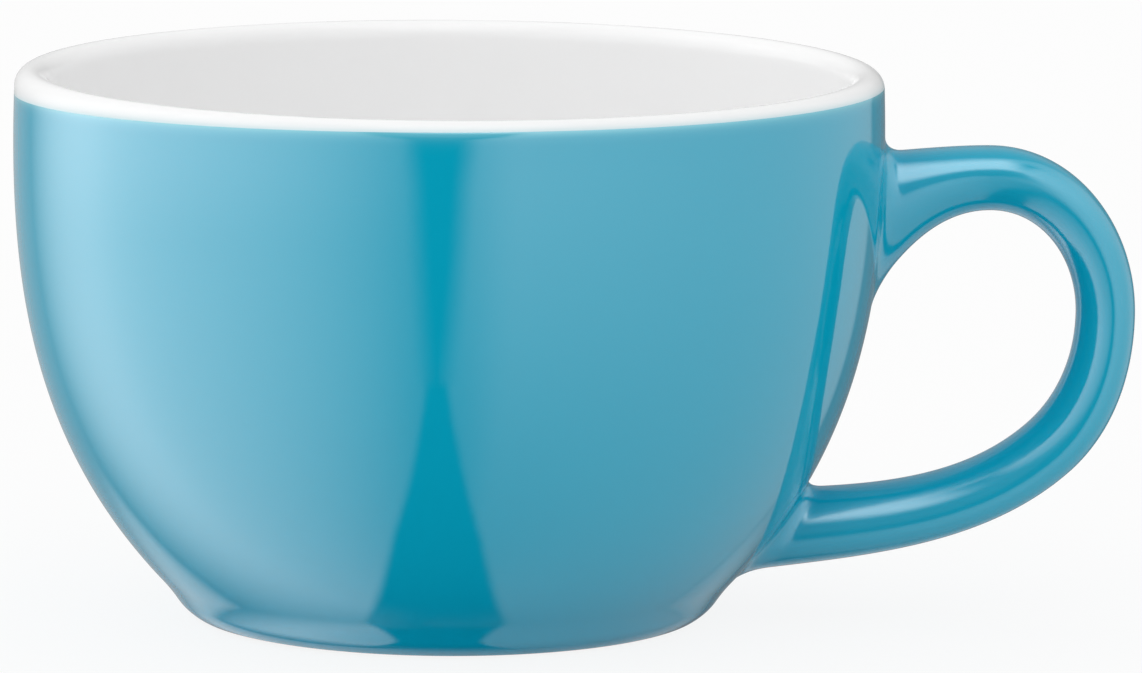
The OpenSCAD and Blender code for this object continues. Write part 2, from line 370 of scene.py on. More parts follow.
class Effects:
    """Effects that several finishes share, each a node group that is made once."""

    COLOUR = "NodeSocketColor"
    VALUE = "NodeSocketFloat"
    # Octaves of each pattern's noise
    WAVE_DETAIL = 1.0
    PEEL_DETAIL = 2.0
    CLOUD_DETAIL = 3.0
    PATCH_DETAIL = 4.0
    GRAIN_DETAIL = 5.0
    # Roughness of bare clay between its grains, and what the grain adds to it
    CLAY_ROUGHNESS = 0.65
    GRAIN_ROUGHNESS = 0.2

    @classmethod
    def group(
        cls, name: str, inputs: dict[str, str], outputs: dict[str, str]
    ) -> tuple[Sheet, bpy.types.Node]:
        """Starts a node group with named sockets.

        Args:
            name: The group's name.
            inputs: Socket type of each input.
            outputs: Socket type of each output.

        Returns:
            The sheet to draw on, and the node that holds the group's inputs.
        """
        tree = bpy.data.node_groups.new(name, "ShaderNodeTree")
        sheet = Sheet(tree)
        for way, sockets in (("INPUT", inputs), ("OUTPUT", outputs)):
            for socket, kind in sockets.items():
                tree.interface.new_socket(name=socket, in_out=way, socket_type=kind)
        return sheet, sheet.add("NodeGroupInput")

    @classmethod
    @cache
    def glaze_ripple(cls) -> bpy.types.NodeTree:
        """A glaze's faint waviness and the change of gloss that goes with it.

        Returns:
            The group: broad waves and fine orange peel make Height, and the waves alone Gloss.
        """
        values = ["Wave Scale", "Peel Scale", "Peel Share", "Polish", "Dulling"]
        inputs = dict.fromkeys(values, cls.VALUE)
        outputs = dict.fromkeys(["Height", "Gloss"], cls.VALUE)
        sheet, given = cls.group("glaze ripple", inputs, outputs)
        wave = sheet.noise(given.outputs["Wave Scale"], cls.WAVE_DETAIL)
        peel = sheet.noise(given.outputs["Peel Scale"], cls.PEEL_DETAIL)
        height = sheet.math("MULTIPLY_ADD", peel, given.outputs["Peel Share"], wave)
        gloss = sheet.math("MULTIPLY_ADD", wave, given.outputs["Dulling"], given.outputs["Polish"])
        sheet.add("NodeGroupOutput", {"Height": height, "Gloss": gloss})
        return sheet.tree

    @classmethod
    @cache
    def glaze_depth(cls) -> bpy.types.NodeTree:
        """A glaze's colour: clouded where it lies deeper, and paler where it runs out thin.

        Returns:
            The group, with Colour as its output.
        """
        inputs = dict.fromkeys(["Colour", "Deep Colour", "Thin Colour"], cls.COLOUR)
        inputs |= dict.fromkeys(["Cloud Scale", "Thin"], cls.VALUE)
        sheet, given = cls.group("glaze depth", inputs, {"Colour": cls.COLOUR})
        cloud = sheet.noise(given.outputs["Cloud Scale"], cls.CLOUD_DETAIL)
        body = sheet.mix(cloud, given.outputs["Colour"], given.outputs["Deep Colour"])
        colour = sheet.mix(given.outputs["Thin"], body, given.outputs["Thin Colour"])
        sheet.add("NodeGroupOutput", {"Colour": colour})
        return sheet.tree

    @classmethod
    @cache
    def clay_grain(cls) -> bpy.types.NodeTree:
        """Bare fired clay: sandy grain, soft patches and scattered dark specks.

        Returns:
            The group, with Colour, Height and Roughness as its outputs.
        """
        inputs = dict.fromkeys(["Colour", "Patch Colour", "Speck Colour"], cls.COLOUR)
        values = ["Patch Scale", "Grain Scale", "Speck Scale", "Speck Size"]
        inputs |= dict.fromkeys(values, cls.VALUE)
        outputs = {"Colour": cls.COLOUR, "Height": cls.VALUE, "Roughness": cls.VALUE}
        sheet, given = cls.group("clay grain", inputs, outputs)
        patch = sheet.noise(given.outputs["Patch Scale"], cls.PATCH_DETAIL)
        grain = sheet.noise(given.outputs["Grain Scale"], cls.GRAIN_DETAIL)
        spots = {"Vector": sheet.place(), "Scale": given.outputs["Speck Scale"]}
        cells = sheet.add("ShaderNodeTexVoronoi", spots)
        speck = sheet.math("LESS_THAN", cells.outputs["Distance"], given.outputs["Speck Size"])
        body = sheet.mix(patch, given.outputs["Colour"], given.outputs["Patch Colour"])
        colour = sheet.mix(speck, body, given.outputs["Speck Colour"])
        rough = sheet.math("MULTIPLY_ADD", grain, cls.GRAIN_ROUGHNESS, cls.CLAY_ROUGHNESS)
        sheet.add("NodeGroupOutput", {"Colour": colour, "Height": grain, "Roughness": rough})
        return sheet.tree


@dataclass(frozen=True)
class Glaze:
    """A glossy fired glaze, paler where it runs out thin and with a faint orange peel."""

    name: str
    slot: Slot
    colour: tuple[float, float, float]
    deep_colour: tuple[float, float, float]
    thin_colour: tuple[float, float, float]
    # Sizes of the clouds, the broad waves and the orange peel, and how much the peel counts
    cloud_size: float = 18.0
    wave_size: float = 16.0
    peel_size: float = 1.6
    peel_share: float = 0.12
    # Least roughness, what the waves add to it, the relief's depth, and how much it mirrors
    polish: float = 0.03
    dulling: float = 0.03
    relief: float = 0.02
    ior: float = 1.5
    mirror: float = 0.5

    @cache
    def material(self) -> bpy.types.Material:
        """The glaze as a material that reads the coat's own "thin" values.

        Returns:
            The material, which is made once.
        """
        made, sheet = Sheet.of_material(self.name)
        thin = sheet.add("ShaderNodeAttribute", attribute_name="thin").outputs["Fac"]
        depth = sheet.group(Effects.glaze_depth(), {
            "Colour": rgba(self.colour),
            "Deep Colour": rgba(self.deep_colour),
            "Thin Colour": rgba(self.thin_colour),
            "Cloud Scale": per_metre(self.cloud_size),
            "Thin": thin,
        })
        ripple = sheet.group(Effects.glaze_ripple(), {
            "Wave Scale": per_metre(self.wave_size),
            "Peel Scale": per_metre(self.peel_size),
            "Peel Share": self.peel_share,
            "Polish": self.polish,
            "Dulling": self.dulling,
        })
        sheet.principled({
            "Base Color": depth["Colour"],
            "Roughness": ripple["Gloss"],
            "Normal": sheet.relief(ripple["Height"], self.relief),
            "IOR": self.ior,
            "Specular IOR Level": self.mirror,
        })
        return made


@dataclass(frozen=True)
class Clay:
    """A matt fired clay body, with grain and specks."""

    name: str
    slot: Slot
    colour: tuple[float, float, float]
    patch_colour: tuple[float, float, float]
    speck_colour: tuple[float, float, float]
    # Sizes of the patches and the grain, the specks' spacing and share of it, the relief's depth
    patch_size: float = 9.0
    grain_size: float = 0.35
    speck_spacing: float = 1.4
    speck_size: float = 0.12
    relief: float = 0.05

    @cache
    def material(self) -> bpy.types.Material:
        """The clay as a material on the cup's own coordinates.

        Returns:
            The material, which is made once.
        """
        made, sheet = Sheet.of_material(self.name)
        grain = sheet.group(Effects.clay_grain(), {
            "Colour": rgba(self.colour),
            "Patch Colour": rgba(self.patch_colour),
            "Speck Colour": rgba(self.speck_colour),
            "Patch Scale": per_metre(self.patch_size),
            "Grain Scale": per_metre(self.grain_size),
            "Speck Scale": per_metre(self.speck_spacing),
            "Speck Size": self.speck_size,
        })
        sheet.principled({
            "Base Color": grain["Colour"],
            "Roughness": grain["Roughness"],
            "Normal": sheet.relief(grain["Height"], self.relief),
        })
        return made


BLUE_GLAZE = Glaze(
    "blue glaze",
    Slot.BLUE,
    colour=(0.002, 0.352, 0.512),
    deep_colour=(0.001, 0.338, 0.497),
    thin_colour=(0.160, 0.520, 0.620),
)
HANDLE_GLAZE = replace(BLUE_GLAZE, name="blue glaze on the handle", polish=0.13)
WHITE_GLAZE = Glaze(
    "white glaze",
    Slot.WHITE,
    colour=(0.880, 0.880, 0.880),
    deep_colour=(0.870, 0.871, 0.873),
    thin_colour=(0.600, 0.750, 0.790),
    polish=0.12,
    mirror=0.05,
)
FIRED_CLAY = Clay(
    "bare fired clay",
    Slot.CLAY,
    colour=(0.720, 0.655, 0.570),
    patch_colour=(0.670, 0.600, 0.510),
    speck_colour=(0.420, 0.330, 0.240),
)
FIRED_SLIP = Clay(
    "fired slip",
    Slot.SLIP,
    colour=(0.640, 0.570, 0.480),
    patch_colour=(0.580, 0.510, 0.420),
    speck_colour=(0.400, 0.320, 0.240),
    grain_size=0.2,
)


def add_piece(node: Node, surface: Surface, finish: Glaze | Clay) -> bpy.types.Object:
    """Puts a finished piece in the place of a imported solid.

    Args:
        node: The solid that the piece stands for.
        surface: The piece's surface.
        finish: What it is made of.

    Returns:
        The new object, at the origin and riding on the cup.
    """
    name = f"{node.value}.finished"
    piece = add_object(name, surface.mesh(name))
    piece.data.materials.append(finish.material())
    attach(piece, BODY)
    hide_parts(node.value)
    log.info("%s: %d vertices, %s", name, len(piece.data.vertices), finish.name)
    return piece


def dress_node(node: Node, finish: Glaze | Clay) -> bpy.types.Object:
    """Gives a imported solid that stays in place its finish.

    Args:
        node: The solid.
        finish: What it is made of.

    Returns:
        The solid's object.
    """
    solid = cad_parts[node.value]
    solid.data.materials.clear()
    solid.data.materials.append(finish.material())
    log.info("%s: kept, %s", node.value, finish.name)
    return solid


@dataclass
class Bowl:
    """The turned bowl with its glazes: white inside and over the lip, blue outside and below."""

    # The outside: lip, wall, foot and the hollow neck between them; pulls shape the curves
    rim_d: float = 100.0
    cup_h: float = 63.5
    lip_t: float = 3.8
    lip_lean: float = 2.0
    belly_pull: float = 22.5
    wall_pull: float = 21.0
    foot_d: float = 53.0
    foot_face_w: float = 3.5
    foot_edge_r: float = 5.6
    foot_lean: float = 34.0
    neck_r: float = 20.0
    neck_lean: float = 43.0
    # The recess under the base, and the inside down to its flat floor
    recess_h: float = 2.0
    recess_r: float = 1.5
    floor_d: float = 30.0
    floor_t: float = 4.5
    heel_pull: float = 22.0
    inner_pull: float = 34.0
    # The coats' thickness, and what stays bare: degrees of the foot's edge, and a rim in the recess
    glaze_t: float = 0.4
    bare_foot: float = 24.0
    bare_recess: float = 0.5
    # The colour line: its mean depth below the lip, and its two harmonics round the cup
    line_drop: float = 2.23
    line_front: float = -1.09
    line_side: float = -0.62
    line_wave: float = -0.05
    line_twist: float = 0.15
    # Width of the blue coat's round edge on the foot, and how far each coat's thin edges fade
    bead_w: float = 0.6
    line_fade: float = 0.4
    foot_fade: float = 0.35
    lip_fade: float = 0.3
    # The meshes: columns round the cup, and rows along the faces, the backs and the small corners
    columns: int = 256
    coat_rows: int = 150
    hidden_rows: int = 40
    corner_rows: int = 20

    @cached_property
    def angles(self) -> np.ndarray:
        """The angles of the columns, from +X."""
        return np.linspace(0.0, 360.0, self.columns, endpoint=False)

    @cached_property
    def lip_centre(self) -> np.ndarray:
        """Centre of the round lip."""
        return np.array([(self.rim_d - self.lip_t) / 2.0, self.cup_h - self.lip_t / 2.0])

    @cached_property
    def foot_centre(self) -> np.ndarray:
        """Centre of the foot's rounded edge."""
        return np.array([self.foot_d / 2.0, self.foot_edge_r])

    @cached_property
    def bare_edge(self) -> Outline:
        """The bare part of the foot's edge, up from the table."""
        return Outline.arc(self.foot_centre, self.foot_edge_r, -90.0, self.bare_foot - 90.0)

    @cached_property
    def wall(self) -> Outline:
        """The clay's outside from the glaze's edge on the foot up to the lip.

        Returns:
            The foot's round edge, the neck as a hollow arc, and one cubic curve up the belly.
        """
        bare = self.bare_foot - 90.0
        edge = Outline.arc(self.foot_centre, self.foot_edge_r, bare, -self.foot_lean)
        neck_centre = self.foot_centre + (self.foot_edge_r + self.neck_r) * heading(-self.foot_lean)
        neck = Outline.arc(neck_centre, -self.neck_r, -self.foot_lean, -self.neck_lean)
        start = neck_centre - self.neck_r * heading(-self.neck_lean)
        end = self.lip_centre + self.clay_lip_r * heading(self.lip_lean)
        leave = start + self.belly_pull * heading(90.0 - self.neck_lean)
        arrive = end - self.wall_pull * heading(90.0 + self.lip_lean)
        return Outline.joined(edge, neck, Outline.curve(start, leave, arrive, end))

    @property
    def clay_lip_r(self) -> float:
        """Radius of the clay inside the lip's glaze."""
        return self.lip_t / 2.0 - self.glaze_t

    @cached_property
    def inside(self) -> Outline:
        """The clay over the lip, down the inside and in to the middle of the floor.

        Returns:
            The lip's half circle, one cubic curve down the inside, and the flat floor.
        """
        lip = Outline.arc(self.lip_centre, self.clay_lip_r, self.lip_lean, 180.0 + self.lip_lean)
        start = self.lip_centre - self.clay_lip_r * heading(self.lip_lean)
        floor = np.array([self.floor_d / 2.0, self.recess_h + self.floor_t])
        leave = start + self.inner_pull * heading(self.lip_lean - 90.0)
        arrive = floor + np.array([self.heel_pull, 0.0])
        middle = np.array([0.0, floor[1]])
        wall = Outline.curve(start, leave, arrive, floor)
        return Outline.joined(lip, wall, Outline.straight(floor, middle))

    @cached_property
    def glazed(self) -> Outline:
        """All of the clay under the two coats, from the foot to the middle of the floor."""
        return Outline.joined(self.wall, self.inside)

    @cached_property
    def whole_wall(self) -> Outline:
        """The clay's outside with the bare edge, which the handle stands on."""
        return Outline.joined(self.bare_edge, self.wall)

    def line_runs(self) -> np.ndarray:
        """The length along the glazed outline at which each column meets the colour line.

        The line's depth below the lip is its mean plus a first and a second harmonic of the angle
        from the front, as a dipped rim has when the cup is held a little askew.

        Returns:
            One length for each column.
        """
        turn = np.radians(self.angles + 90.0)
        drop = self.line_drop + self.line_front * np.cos(turn) + self.line_side * np.sin(turn)
        drop = drop + self.line_wave * np.cos(2.0 * turn) + self.line_twist * np.sin(2.0 * turn)
        skin = self.glazed.at(self.glazed.run, self.glaze_t)
        top = np.argmax(skin[:, 1])
        return np.interp(self.cup_h - drop, skin[:top, 1], self.glazed.run[:top])

    def wall_gap(self, points: np.ndarray) -> np.ndarray:
        """How far points lie outside the clay wall: the radial gap times the cosine of its slope.

        Args:
            points: Points (x, y, z), with the coordinates on the last axis.

        Returns:
            One gap for each point, negative inside the clay.
        """
        heights = self.whole_wall.points[:, 1]
        radius = np.interp(points[..., 2], heights, self.whole_wall.points[:, 0])
        slope = np.interp(points[..., 2], heights, self.whole_wall.normals[:, 0])
        return (np.hypot(points[..., 0], points[..., 1]) - radius) * slope

    def wall_normal(self, points: np.ndarray) -> np.ndarray:
        """Unit vectors out of the wall at the height and angle of points.

        Args:
            points: Points (x, y, z), with the coordinates on the last axis.

        Returns:
            One vector for each point.
        """
        heights = self.whole_wall.points[:, 1]
        outward = points[..., :2] / np.hypot(points[..., 0], points[..., 1])[..., None]
        flat = np.interp(points[..., 2], heights, self.whole_wall.normals[:, 0])
        rise = np.interp(points[..., 2], heights, self.whole_wall.normals[:, 1])
        return np.concatenate([outward * flat[..., None], rise[..., None]], axis=-1)

    def clay(self) -> Surface:
        """The clay body: one outline round the recess, foot, wall, lip and floor, turned.

        Returns:
            The body's surface, closed at both poles.
        """
        recess_r = self.foot_d / 2.0 - self.foot_face_w
        corner_centre = np.array([recess_r - self.recess_r, self.recess_h - self.recess_r])
        corner = heading(np.linspace(90.0, 0.0, self.corner_rows))
        outline = np.concatenate([
            [[0.0, self.recess_h]],
            corner_centre + self.recess_r * corner,
            [[recess_r, 0.0]],
            self.bare_edge.at(self.bare_edge.run[-1] * end_shares(self.corner_rows)),
            self.glazed.at(self.glazed.run[-1] * np.linspace(0.0, 1.0, self.coat_rows)[1:]),
        ])
        return Surface(turned(outline, self.angles))

    def coat(
        self, run: np.ndarray, coat: np.ndarray | float, thin: np.ndarray, back: np.ndarray
    ) -> Surface:
        """A coat on the glazed outline, turned: its face out over the clay and its back on it.

        Args:
            run: Lengths along the outline at the face's rows and columns.
            coat: Thickness of the coat, one value or one for each row and column.
            thin: How thin the face looks there, from 0 to 1.
            back: Lengths at the back's rows and columns, the other way along.

        Returns:
            The coat's closed surface.
        """
        rows = np.concatenate([
            turned(self.glazed.at(run, coat), self.angles),
            turned(self.glazed.at(back), self.angles),
        ])
        return Surface(rows, closed=True, values=np.concatenate([thin, np.zeros_like(back)]))

    def blue_coat(self) -> Surface:
        """The blue coat: the outline from a round bead on the foot up to the colour line.

        Returns:
            The coat, which thins out by an exponential fade at both edges.
        """
        share = end_shares(self.coat_rows)[:, None]
        line = self.line_runs()[None, :]
        run = share * line
        bead = 1.0 - np.clip(run / self.bead_w, 0.0, 1.0)
        coat = self.glaze_t * np.sqrt(1.0 - bead**2)
        thin = np.maximum(np.exp((run - line) / self.line_fade), np.exp(-run / self.foot_fade))
        back = np.linspace(1.0, 0.0, self.hidden_rows)[:, None] * line
        return self.coat(run, coat, thin, back)

    def white_coat(self) -> Surface:
        """The white coat: the outline from the colour line over the lip to the floor's middle.

        Returns:
            The coat, which thins out by an exponential fade at the colour line.
        """
        share = end_shares(self.coat_rows)[:, None]
        line = self.line_runs()[None, :]
        left = self.glazed.run[-1] - line
        thin = np.exp(-share * left / self.lip_fade)
        back = np.linspace(1.0, 0.0, self.hidden_rows)[:, None] * left
        return self.coat(line + share * left, self.glaze_t, thin, line + back)

    def base_coat(self) -> Surface:
        """The coat on the recess's ceiling: a disc with a quarter-round edge, turned.

        Returns:
            The coat, which thins out by an exponential fade at its edge.
        """
        radius = self.foot_d / 2.0 - self.foot_face_w - self.recess_r - self.bare_recess
        edge = heading(np.linspace(-90.0, 0.0, self.corner_rows))
        rim = np.array([radius - self.glaze_t, self.recess_h])
        flat = np.linspace(0.0, radius - self.glaze_t, self.hidden_rows, endpoint=False)
        underside = np.stack([flat, np.full_like(flat, self.recess_h - self.glaze_t)], axis=1)
        outline = np.concatenate([underside, rim + self.glaze_t * edge, [[0.0, self.recess_h]]])
        thin = np.exp((outline[:, 0] - radius) / self.foot_fade)
        rows = turned(outline, self.angles)
        return Surface(rows, values=np.repeat(thin[:, None], self.columns, axis=1))

    def build(self) -> None:
        """Makes the bowl's pieces and dresses them."""
        add_piece(Node.BOWL, self.clay(), FIRED_CLAY)
        add_piece(Node.LINING, self.white_coat(), WHITE_GLAZE)
        add_piece(Node.BOWL_COAT, self.blue_coat(), BLUE_GLAZE)
        add_piece(Node.BASE_COAT, self.base_coat(), BLUE_GLAZE)


@dataclass
class Handle:
    """The loop handle's glazed coat: an oval section between two lines, flared at its roots."""

    bowl: Bowl
    # The grip, the crest and the lower bend: how far out and how high, how thick and how wide
    handle_out: float = 29.3
    grip_z: float = 35.5
    grip_t: float = 6.8
    grip_w: float = 10.0
    crest_out: float = 12.4
    crest_drop: float = 8.75
    crest_t: float = 7.35
    crest_w: float = 10.5
    bend_out: float = 19.5
    bend_z: float = 19.65
    bend_t: float = 7.3
    bend_w: float = 10.5
    bend_turn: float = 138.0
    # The section's superellipse, and how much wider it is towards the outer line
    section_power: float = 2.3
    section_lean: float = 0.15
    # The upper root and the lower arm: place, height and width at the wall, and the lines' slopes
    root_drop: float = 9.6
    root_h: float = 16.8
    root_w: float = 12.5
    root_rise_outer: float = 2.0
    root_rise_inner: float = 58.0
    arm_z: float = 9.9
    arm_h: float = 9.6
    arm_fall_outer: float = 9.0
    arm_fall_inner: float = 2.0
    arm_w: float = 11.5
    # How deep the lines start under the wall
    bury: float = 4.0
    # The glaze pools in the joints' corners: how far the hollow reaches, and how gently it starts
    pool_reach: float = 2.4
    pool_power: float = 2.6
    # How far the coat's hidden skirt runs on past the flare, and how deep it sinks
    skirt_w: float = 0.5
    skirt_sink: float = 0.12
    # How far along the end spans the roots are looked for, in spans
    root_reach: float = 0.6
    search_steps: int = 44
    # The coat's mesh: columns round it, rows along its face, and how many of those per back row
    columns: int = 96
    coat_rows: int = 260
    back_step: int = 4

    def wall_point(self, z: float, direction: float) -> np.ndarray:
        """A point (r, z) under the wall, the bury depth from its face in a direction."""
        wall = self.bowl.whole_wall.points
        return np.array([np.interp(z, wall[:, 1], wall[:, 0]), z]) + self.bury * heading(direction)

    @cached_property
    def stations(self) -> tuple[np.ndarray, np.ndarray, np.ndarray]:
        """The five stations from the upper root to the lower one.

        Returns:
            Points (station, rail, x and z), directions (station, rail) and half widths.
        """
        rim_r, cup_h = self.bowl.rim_d / 2.0, self.bowl.cup_h
        crest = np.array([rim_r + self.crest_out, cup_h - self.crest_drop])
        grip = np.array([rim_r + self.handle_out, self.grip_z])
        bend = np.array([rim_r + self.bend_out, self.bend_z])
        across = self.bend_t / 2.0 * heading(90.0 - self.bend_turn)
        top = cup_h - self.root_drop
        points = np.array([
            [
                self.wall_point(top, 180.0 + self.root_rise_outer),
                self.wall_point(top - self.root_h, 180.0 + self.root_rise_inner),
            ],
            [crest, crest - np.array([0.0, self.crest_t])],
            [grip, grip - np.array([self.grip_t, 0.0])],
            [bend + across, bend - across],
            [
                self.wall_point(self.arm_z - self.arm_h / 2.0, 180.0 + self.arm_fall_outer),
                self.wall_point(self.arm_z + self.arm_h / 2.0, 180.0 + self.arm_fall_inner),
            ],
        ])
        turns = np.array([0.0, -90.0, -self.bend_turn])
        directions = np.concatenate([
            [[self.root_rise_outer, self.root_rise_inner]],
            np.repeat(turns[:, None], 2, axis=1),
            [[self.arm_fall_outer - 180.0, self.arm_fall_inner - 180.0]],
        ])
        widths = np.array([self.root_w, self.crest_w, self.grip_w, self.bend_w, self.arm_w])
        return points, directions, widths / 2.0

    def rail(self, side: Rail, t: np.ndarray) -> np.ndarray:
        """Points of one line: between stations, the cubic that comes closest to an arc.

        Args:
            side: Which of the two lines.
            t: Places along the handle, in spans from the upper root.

        Returns:
            The points (x, z).
        """
        points, directions, _ = self.stations
        span = np.clip(np.floor(t).astype(int), 0, len(points) - 2)
        a, b = points[span, side.value], points[span + 1, side.value]
        start, end = directions[span, side.value], directions[span + 1, side.value]
        quarter = np.radians(end - start) / 4.0
        pull = np.linalg.norm(b - a, axis=-1) / (3.0 * np.cos(quarter) ** 2)
        leave = a + pull[..., None] * heading(start)
        arrive = b - pull[..., None] * heading(end)
        return cubic(a, leave, arrive, b, t - span)

    def section(
        self, t: np.ndarray, angle: np.ndarray, inset: float
    ) -> tuple[np.ndarray, np.ndarray]:
        """Points of the oval section, and the unit vectors out of it.

        A point is the rails' middle plus half the thickness times a = |cos|^(2/power) along the
        line between the rails, and half the width times |sin|^(2/power) across it, which the lean
        makes wider by its share of a towards the outer rail.

        Args:
            t: Places along the handle, in spans.
            angle: Angles round the section, from the outer rail.
            inset: Depth below the glazed surface.

        Returns:
            The points and the vectors, with x, y and z on the last axis.
        """
        outer, inner = self.rail(Rail.OUTER, t), self.rail(Rail.INNER, t)
        middle, reach = (outer + inner) / 2.0, outer - inner
        thickness = np.linalg.norm(reach, axis=-1)
        up = reach / thickness[..., None]
        widths = self.stations[2]
        span = np.clip(np.floor(t).astype(int), 0, len(widths) - 2)
        ease = smooth_step(0.0, 1.0, t - span)
        half_w = widths[span] * (1.0 - ease) + widths[span + 1] * ease - inset
        half_t = thickness / 2.0 - inset
        a = signed_power(np.cos(np.radians(angle)), 2.0 / self.section_power)
        b = signed_power(np.sin(np.radians(angle)), 2.0 / self.section_power)
        spread = 1.0 + self.section_lean * a
        flat = middle + (half_t * a)[..., None] * up
        points = np.stack([flat[..., 0], half_w * b * spread, flat[..., 1]], axis=-1)
        steep = signed_power(b, self.section_power - 1.0)
        level = signed_power(a, self.section_power - 1.0)
        across = half_w * (level * spread - self.section_lean * b * steep)
        along = half_t * steep
        size = np.hypot(across, along)
        out = [across * up[..., 0] / size, along / size, across * up[..., 1] / size]
        return points, np.stack(out, axis=-1)

    def root(self, inside: float, outside: float, angle: np.ndarray) -> np.ndarray:
        """The place on each line along the handle where it meets the glazed wall, found by halving.

        Args:
            inside: A place inside the bowl, in spans.
            outside: A place outside it.
            angle: The lines' angles round the section.

        Returns:
            One place for each angle.
        """
        low, high = np.full_like(angle, inside), np.full_like(angle, outside)
        for _ in range(self.search_steps):
            half = (low + high) / 2.0
            buried = self.bowl.wall_gap(self.section(half, angle, 0.0)[0]) < self.bowl.glaze_t
            low, high = np.where(buried, half, low), np.where(buried, high, half)
        return high

    def flared(self, t: np.ndarray, angle: np.ndarray, inset: float) -> np.ndarray:
        """The section flared into the wall by the pooled glaze, a hollow quarter of a superellipse.

        At a gap g from the wall the hollow of reach r and power p stands off by
        r - (r^p - (r - g)^p)^(1/p), and the point keeps its gap, so that the flare lies down on
        the wall.

        Args:
            t: Places along the handle, in spans.
            angle: Angles round the section.
            inset: Depth below the glazed surface.

        Returns:
            The points.
        """
        base, out = self.section(t, angle, inset)
        gap = self.bowl.wall_gap(base)
        r, p = self.pool_reach, self.pool_power
        left = r - np.clip(gap - self.bowl.glaze_t + inset, 0.0, r)
        moved = base + (r - (r**p - left**p) ** (1.0 / p))[..., None] * out
        return moved + (gap - self.bowl.wall_gap(moved))[..., None] * self.bowl.wall_normal(moved)

    def skirt(self, t: np.ndarray, angle: np.ndarray) -> np.ndarray:
        """A ring past the flare that sinks under the bowl's coat.

        Args:
            t: Places along the handle where it meets the wall, in spans.
            angle: Angles round the section.

        Returns:
            One row of points.
        """
        base, out = self.section(t, angle, 0.0)
        moved = base + (self.pool_reach + self.skirt_w) * out
        sunk = self.bowl.glaze_t - self.skirt_sink - self.bowl.wall_gap(moved)
        return (moved + sunk[..., None] * self.bowl.wall_normal(moved))[None]

    def coat(self) -> Surface:
        """The blue coat round the handle and over its joints, as one sleeve.

        Returns:
            The sleeve's closed surface: a skirt, its face, the other skirt and its back.
        """
        angle = np.linspace(360.0, 0.0, self.columns, endpoint=False)
        last = float(len(self.stations[0]) - 1)
        first = self.root(0.0, self.root_reach, angle)
        end = self.root(last, last - self.root_reach, angle)
        t = first + (end - first) * end_shares(self.coat_rows)[:, None]
        back = t[::-self.back_step]
        rows = np.concatenate([
            self.skirt(first, angle),
            self.flared(t, np.broadcast_to(angle, t.shape), 0.0),
            self.skirt(end, angle),
            self.flared(back, np.broadcast_to(angle, back.shape), self.bowl.glaze_t),
        ])
        return Surface(rows, closed=True)

    def build(self) -> None:
        """Makes the handle's coat and dresses the clay and the slip under it."""
        add_piece(Node.HANDLE_COAT, self.coat(), HANDLE_GLAZE)
        dress_node(Node.HANDLE, FIRED_CLAY)
        dress_node(Node.UPPER_SLIP, FIRED_SLIP)
        dress_node(Node.LOWER_SLIP, FIRED_SLIP)


